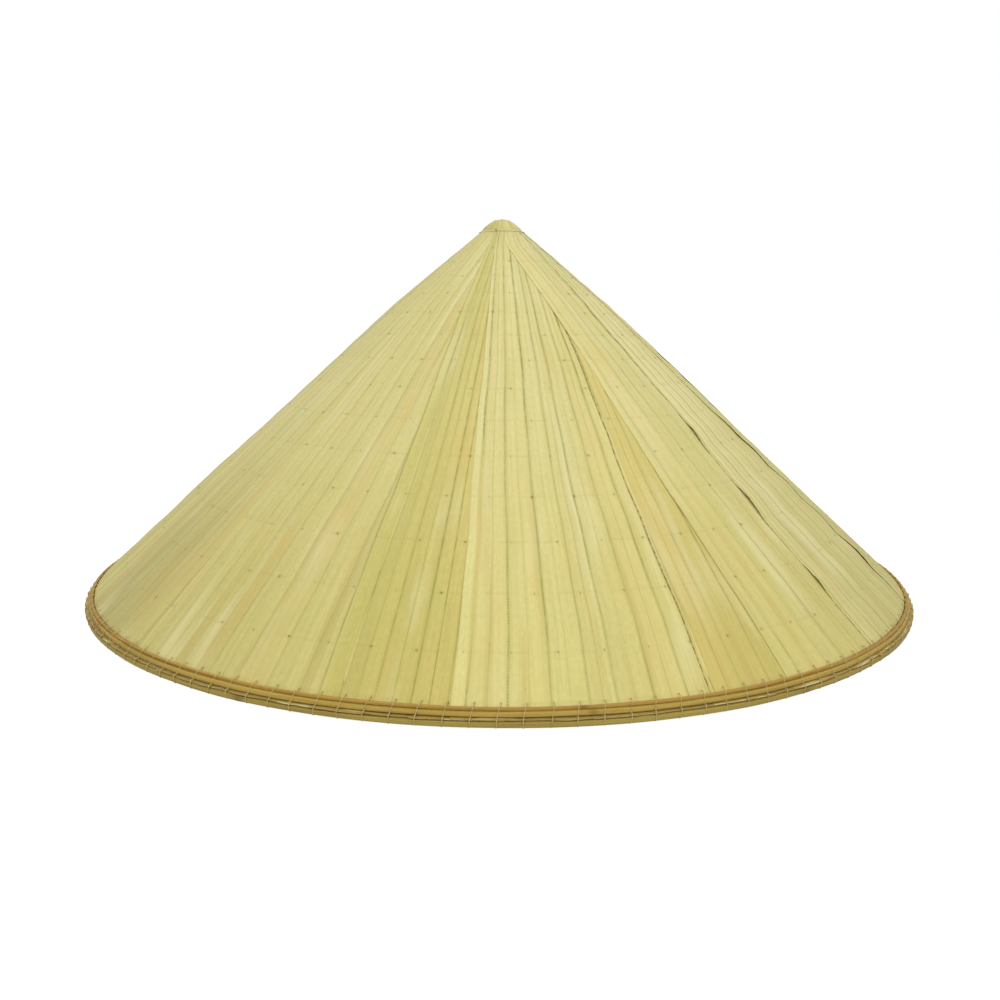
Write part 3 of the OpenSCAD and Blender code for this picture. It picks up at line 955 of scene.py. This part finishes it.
def make_rim():
    yellow = bamboo_material("bamboo_yellow", (190, 163, 75), (170, 142, 58), (128, 98, 36), 0.65)
    orange = bamboo_material("bamboo_orange", (183, 147, 63), (160, 121, 46), (112, 80, 30), 0.7)
    brown = bamboo_material("bamboo_brown", (170, 149, 67), (148, 125, 52), (102, 84, 34), 0.6)
    for node, ring, overlap, material, slot, seed in (
        ("rim_hoop", RIM_HOOP, 45 * MM, brown, "bamboo_rim_hoop", 131),
        ("rim_strip_middle", STRIP_MIDDLE, 50 * MM, yellow, "bamboo_rim_yellow", 132),
        ("rim_strip_top", STRIP_TOP, 40 * MM, orange, "bamboo_rim_brown", 133),
    ):
        bamboo_ring(
            f"bamboo_{node}", node, ring, joint_of(node), overlap, 7, 16, 2.5 * MM,
            material, seed,
        )


# ------------ thread

def make_binding():
    """Whipped thread round the rim: out through a hole above the strips, down over them with a
    slight lean, under the rim hoop, and up inside to the next hole."""
    r = 0.17 * MM
    leaf_out = on_cover(HOLE_SLANT, -0.3 * MM)
    leaf_in = on_cover(HOLE_SLANT, COVER_THICK + r)
    inside = BEND_RADIUS - COVER_THICK - r
    below = RIM_HOOP.low - 0.4 * r
    turn = [
        (HOLE_LEAD, *on_cover(HOLE_SLANT, 0.5 * MM)),
        (HOLE_LEAD - 0.1 * MM, leaf_out[0] + 0.2 * MM, leaf_out[1]),
        (0.5 * MM, STRIP_TOP.outer - 0.35 * MM, STRIP_TOP.high + 0.5 * r),
        (0.4 * MM, STRIP_TOP.outer + 0.3 * r, STRIP_TOP.high - 0.25 * MM),
        (0.2 * MM, STRIP_TOP.outer + 0.8 * r, STRIP_TOP.low + 0.2 * MM),
        (0.1 * MM, STRIP_MIDDLE.outer - 0.25 * MM, STRIP_MIDDLE.high + 0.5 * r),
        (0.0, STRIP_MIDDLE.outer + 0.4 * r, STRIP_MIDDLE.high - 0.3 * MM),
        (-0.2 * MM, STRIP_MIDDLE.outer + 0.9 * r, STRIP_MIDDLE.low + 0.3 * MM),
        (-0.3 * MM, RIM_HOOP.outer - 0.2 * MM, FLANGE_Z + 0.2 * MM),
        (-0.4 * MM, RIM_HOOP.outer + 0.6 * r, FLANGE_Z - 0.5 * MM),
        (-0.5 * MM, RIM_HOOP.outer + 0.5 * r, RIM_HOOP.high - 0.3 * MM),
        (-0.7 * MM, RIM_HOOP.outer + 0.3 * r, RIM_HOOP.low + 0.35 * MM),
        (-0.8 * MM, RIM_HOOP.outer - 0.4 * MM, below),
        (-0.7 * MM, RIM_HOOP.inner + 0.4 * MM, below),
        (-0.5 * MM, RIM_HOOP.inner - 0.5 * r, RIM_HOOP.low + 0.35 * MM),
        (0.2 * BIND_PITCH, RIM_HOOP.inner - 0.7 * r, RIM_HOOP.high - 0.3 * MM),
        (0.5 * BIND_PITCH, inside, FLANGE_Z - 0.3 * MM),
        (BIND_PITCH + HOLE_LEAD - 1.2 * MM, leaf_in[0] + 0.3 * MM, leaf_in[1] - 0.5 * MM),
        (BIND_PITCH + HOLE_LEAD - 0.1 * MM, *leaf_in),
    ]
    draw = np.random.RandomState(41)
    path = []
    for k in range(BIND_TURNS):
        sway = draw.uniform(-0.45, 0.45) * MM
        for along, radius, height in turn:
            moved = sway if -0.6 * MM < along < 0.6 * MM else 0.0
            bearing = (k * BIND_PITCH + along + moved) / RIM_HOOP.radius
            path.append(around(bearing, radius, height))
    thread = tube(path, r, 7, closed=True, lay=1.3 * MM)
    material = thread_material("binding_thread", (206, 187, 120), (164, 139, 76))
    thread_piece("thread_rim_binding", [thread], material, ["rim_binding"])


def hoop_centre(n):
    return HOOPS[n].radius, HOOPS[n].height, HOOPS[n].thick / 2


def make_stitches():
    """One loop of sewing thread for each stitch: a short run outside, then round the hoop."""
    threads = []
    draw = np.random.RandomState(43)
    r = 0.10 * MM
    half_run = 0.42 * MM
    for n in range(len(HOOPS)):
        radius, height, half = hoop_centre(n)
        fall = np.interp(HOOP_SLANTS[n], LINE[0], LINE[3])
        reach = half + 0.9 * r
        at = HOOP_SLANTS[n]
        wrap = [
            (radius + reach * math.sin(fall + a), height + reach * math.cos(fall + a))
            for a in np.linspace(0.62 * math.pi, 1.38 * math.pi, 6)
        ]
        count = stitch_count(n)
        for k in range(count):
            bearing = (k + 0.25 + 0.5 * (n % 2)) * TURN / count
            skew = draw.uniform(0.2, 1.2) * MM / radius
            stand = -float(swell(np.array(bearing), np.array(at))) + 0.06 * MM
            entry = stand + 0.2 * MM
            beside = half + 0.1 * MM
            route = [
                (0.0, *on_cover(at - half_run, entry)),
                (0.0, *on_cover(at - 0.2 * MM, stand)),
                (0.2, *on_cover(at + 0.2 * MM, stand)),
                (0.3, *on_cover(at + half_run, entry)),
                (0.3, *on_cover(at + beside, COVER_THICK)),
                *((0.3 - 0.12 * i, *place) for i, place in enumerate(wrap)),
                (-0.3, *on_cover(at - beside, COVER_THICK)),
            ]
            path = [around(bearing + lean * skew, *place) for lean, *place in route]
            threads.append(tube(path, r, 5, closed=True, lay=0.8 * MM))
    material = thread_material("sewing_thread", (198, 183, 120), (152, 133, 72))
    thread_piece("thread_hoop_stitching", threads, material, ["hoop_stitching"])
    return material


def make_joint_ties(material):
    """Coils of thread round both ends of each hoop's joint."""
    ties = []
    r = 0.15 * MM
    turns, coil_length, from_joint = 6, 2.0 * MM, 6 * MM
    a = np.linspace(0, turns * TURN, turns * 10 + 1)
    for n, node in enumerate(HOOP_NODES):
        radius, height, half = hoop_centre(n)
        joint = joint_of(node)
        reach = half * 1.06 + r
        for side in (-1, 1):
            along = side * from_joint + (a / a[-1] - 0.5) * coil_length
            path = around(
                joint + along / radius, radius + reach * np.cos(a), height + reach * np.sin(a)
            )
            ties.append(tube(path, r, 5, lay=0.8 * MM))
    thread_piece("thread_hoop_joint_ties", ties, material, ["hoop_joint_ties"])


def make_strap_loops():
    """Loops of soft cord for the chin strap: three turns round a hoop, closed by a small knot."""
    material = thread_material("loop_cord", (226, 220, 198), (184, 174, 142))
    cord_radius = 0.42 * MM
    turns = 3
    knot_size = 0.55 * MM
    a = np.linspace(0, turns * TURN, turns * 24 + 1)
    b = np.linspace(0, TURN, 48, endpoint=False)
    for node in ("strap_loop_left", "strap_loop_right"):
        low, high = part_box(node)
        middle = (low + high) / 2
        bearing = math.atan2(middle.x, -middle.y)
        radius, height = abs(middle.x), middle.z
        reach = (high.z - low.z) / 2 - cord_radius
        gap = (high.y - low.y - 2 * cord_radius) / (turns - 1)
        along = (a / a[-1] - 0.5) * gap * turns
        loose = reach * (1 + 0.05 * np.sin(1.3 * a + 0.5))
        coil = around(
            bearing + along / radius,
            radius - loose * np.cos(a),
            height - loose * np.sin(a) * 1.02,
        )
        knot = around(
            bearing + (np.sin(b) + 2 * np.sin(2 * b)) * knot_size / radius,
            radius - reach * 0.75 + (np.cos(b) - 2 * np.cos(2 * b)) * knot_size,
            height - reach * 0.75 - np.sin(3 * b) * knot_size,
        )
        cords = [
            tube(coil, cord_radius, 8, lay=1.6 * MM),
            tube(knot, cord_radius, 8, closed=True, lay=1.6 * MM),
        ]
        thread_piece(f"cord_{node}", cords, material, [node])


# ------------ tip

# Radius of the cap's dome, depth of its slope, which lies over the leaves, and its thickness
CAP_DOME = 11.2 * MM
CAP_DEPTH = -0.36 * MM
CAP_THICK = 0.16 * MM
CROWN_SIN, CROWN_COS = math.sin(CROWN_SLOPE), math.cos(CROWN_SLOPE)


def cap_place(run):
    """Radius and height on the tip cap at a distance from its middle: a dome, then a cone."""
    upper = LINE[0] < 35 * MM
    radii = LINE[1][upper] - CAP_DEPTH * CROWN_SIN
    joint = on_cover(np.interp(CAP_DOME * CROWN_SIN, radii, LINE[0][upper]), CAP_DEPTH)
    angle = np.minimum(run / CAP_DOME, CROWN_SLOPE)
    past = np.maximum(run - CAP_DOME * CROWN_SLOPE, 0)
    radius = CAP_DOME * np.sin(angle) + past * CROWN_COS
    height = joint[1] + CAP_DOME * (np.cos(angle) - CROWN_COS)
    return radius, height - past * CROWN_SIN


def make_tip(leaf_shade):
    """A small leaf folded over the tip, with a ragged hem, and the thread that ties it down."""
    draw = np.random.RandomState(23)
    tie = Ring("tip_tie")
    upward = 1.2 * MM
    tie.radius -= upward * CROWN_COS
    tie.height += upward * CROWN_SIN
    folds, columns = 11, 132
    hem = CAP_DOME * CROWN_SLOPE + (tie.radius - CAP_DOME * CROWN_SIN) / CROWN_COS
    run = np.concatenate([[0.25 * MM], np.linspace(1.2 * MM, hem, 15)])
    run, bearing = np.meshgrid(run, np.linspace(0, TURN, columns + 1), indexing="ij")
    snips = draw.uniform(-1, 1, columns)
    run[-1] += np.append(snips, snips[0]) * 0.175 * MM - 0.2 * MM
    fold = bearing / TURN * folds
    pinch = np.exp(-(((run - (hem - 1.6 * MM)) / (0.9 * MM)) ** 2))
    lift = 0.10 * MM * np.abs(np.sin(math.pi * fold + 0.8 * np.sin(3 * bearing)))
    lift = lift * smooth(run, 1 * MM, 6 * MM) - 0.12 * MM * pinch
    lift -= 0.5 * MM * smooth(run, hem - 4 * MM, hem)
    radius, height = cap_place(run)
    lean = np.minimum(run / CAP_DOME, CROWN_SLOPE)
    bob = 0.3 * MM * np.sin(bearing + 1.0) * (1 - smooth(run, 0, 6 * MM))
    radius, height = radius + lift * np.sin(lean), height + lift * np.cos(lean) + bob
    points = around(bearing, radius, height)
    faces = quads(np.arange(run.size).reshape(run.shape)) + [tuple(range(columns))]
    greener = np.exp(-(((bearing - TURN + 0.35) / 0.3) ** 2))
    values = {
        "leaf": side_by_side(fold, run + 3 * MM, 1.7),
        "sewing": np.full((run.size, 3), 1.0),
        "tint": blend(STRAW, OLIVE, greener),
        "style": np.tile((0.7, 0.4, 0.0), (run.size, 1)),
    }
    mesh_object(
        "leaf_tip_cap", points, faces, values, leaf_shade, ["tip_cap"], CAP_THICK
    )
    sunk, thread, knot_at = 0.6 * MM, 0.2 * MM, -0.25
    a = np.linspace(0, TURN, 73)
    path = around(
        a + knot_at,
        tie.radius - sunk * CROWN_SIN + 0.04 * MM * np.sin(3 * a),
        tie.height - sunk * CROWN_COS - 0.25 * MM * a / TURN,
    )
    pale = thread_material("tip_thread", (238, 231, 190), (206, 193, 140))
    ring = tube(path, thread, 7, lay=0.9 * MM)
    thread_piece("thread_tip_tie", [ring], pale, ["tip_tie"])
    a = np.linspace(0, TURN, 12, endpoint=False)
    loop = path[0] + side_by_side(0.35 * MM * np.cos(a), 0, 0.3 * MM * np.sin(a))
    brown = thread_material("tip_knot_thread", (170, 128, 74), (120, 84, 44))
    knot = tube(loop, thread, 6, closed=True)
    thread_piece("thread_tip_knot", [knot], brown, [])


outer_shade = make_outer_leaves()
make_inner_leaves()
make_hoops()
make_rim()
make_binding()
make_joint_ties(make_stitches())
make_strap_loops()
make_tip(outer_shade)


# ------------ floor, light and camera

WHITE = (1.0, 1.0, 1.0, 1.0)


def mix_shaders(tree, factor, first, second, output):
    """Shows the first shader where the factor is 0 and the second where it is 1."""
    pick = tree.nodes.new("ShaderNodeMixShader")
    for source, socket in zip((factor, first, second), pick.inputs):
        tree.links.new(source, socket)
    tree.links.new(pick.outputs[0], tree.nodes[output].inputs["Surface"])


def make_floor():
    """A pale studio floor. It can't be seen from below, so that the underside shows."""
    half = 6.0
    mesh = bpy.data.meshes.new("floor")
    level = RIM_HOOP.low - 0.35 * MM
    corner = [(x * half, y * half, level) for x, y in ((-1, -1), (1, -1), (1, 1), (-1, 1))]
    mesh.from_pydata(corner, [], [(0, 1, 2, 3)])
    g = Graph("floor_paper")
    place = g.tree.nodes.new("ShaderNodeTexCoord").outputs["Object"]
    grain = g.noise(place, 3.0)
    g.colour = (0.34, 0.34, 0.34, 1.0)
    g.shade(g.ramp(grain, 0.2, 0.8, 0.98, 1.0))
    g.finish(0.85, grain, 0.0, 0.1)
    g.shader.inputs["Emission Color"].default_value = WHITE
    distance = g.tree.nodes.new("ShaderNodeVectorMath")
    distance.operation = "LENGTH"
    g.link(place, distance.inputs[0])
    glow = g.ramp(distance.outputs["Value"], 0.2, 0.7, 0.82, 1.05)
    g.link(glow, g.shader.inputs["Emission Strength"])
    clear = g.tree.nodes.new("ShaderNodeBsdfTransparent").outputs[0]
    facing = g.tree.nodes.new("ShaderNodeNewGeometry").outputs["Backfacing"]
    mix_shaders(g.tree, facing, g.shader.outputs[0], clear, "Material Output")
    mesh.materials.append(g.material)
    floor = in_scene("floor", mesh)
    floor.visible_diffuse = floor.visible_shadow = floor.visible_glossy = False


def softbox(name, place, size, power):
    """A square area light at a place, facing the middle of the hat."""
    lamp = bpy.data.lights.new(name, "AREA")
    lamp.shape = "SQUARE"
    lamp.size = size
    lamp.energy = power
    thing = in_scene(name, lamp)
    thing.location = place
    aim = Vector((0, 0, 0.08)) - Vector(place)
    thing.rotation_euler = aim.to_track_quat("-Z", "Y").to_euler()


def make_world(brightness):
    """Even white light all round, behind which the camera sees plain white."""
    world = bpy.data.worlds.new("studio")
    world.use_nodes = True
    tree = world.node_tree
    surface, backdrop = tree.nodes["Background"], tree.nodes.new("ShaderNodeBackground")
    for node, strength in ((surface, brightness), (backdrop, 1.0)):
        node.inputs["Color"].default_value = WHITE
        node.inputs["Strength"].default_value = strength
    seen = tree.nodes.new("ShaderNodeLightPath").outputs["Is Camera Ray"]
    mix_shaders(tree, seen, surface.outputs[0], backdrop.outputs[0], "World Output")
    bpy.context.scene.world = world


def make_camera():
    """The photograph's view: from the front, a little lower than the tip, looking down."""
    data = bpy.data.cameras.new("camera")
    data.sensor_width = 36
    data.lens = 33.66
    camera = in_scene("camera", data)
    down, roll = math.radians(10.41), math.radians(0.4)
    aim = Matrix.Rotation(math.pi / 2 - down, 4, "X") @ Matrix.Rotation(roll, 4, "Z")
    camera.matrix_world = Matrix.Translation((0, -0.5023, 0.1311)) @ aim
    bpy.context.scene.camera = camera


make_floor()
make_world(0.52)
softbox("key", (-0.7, -1.5, 1.5), 1.3, 20)
softbox("fill", (1.6, -1.1, 0.9), 1.4, 12)
softbox("top", (0.2, 0.9, 1.9), 1.4, 12)
make_camera()
bpy.context.scene.view_settings.view_transform = "Standard"
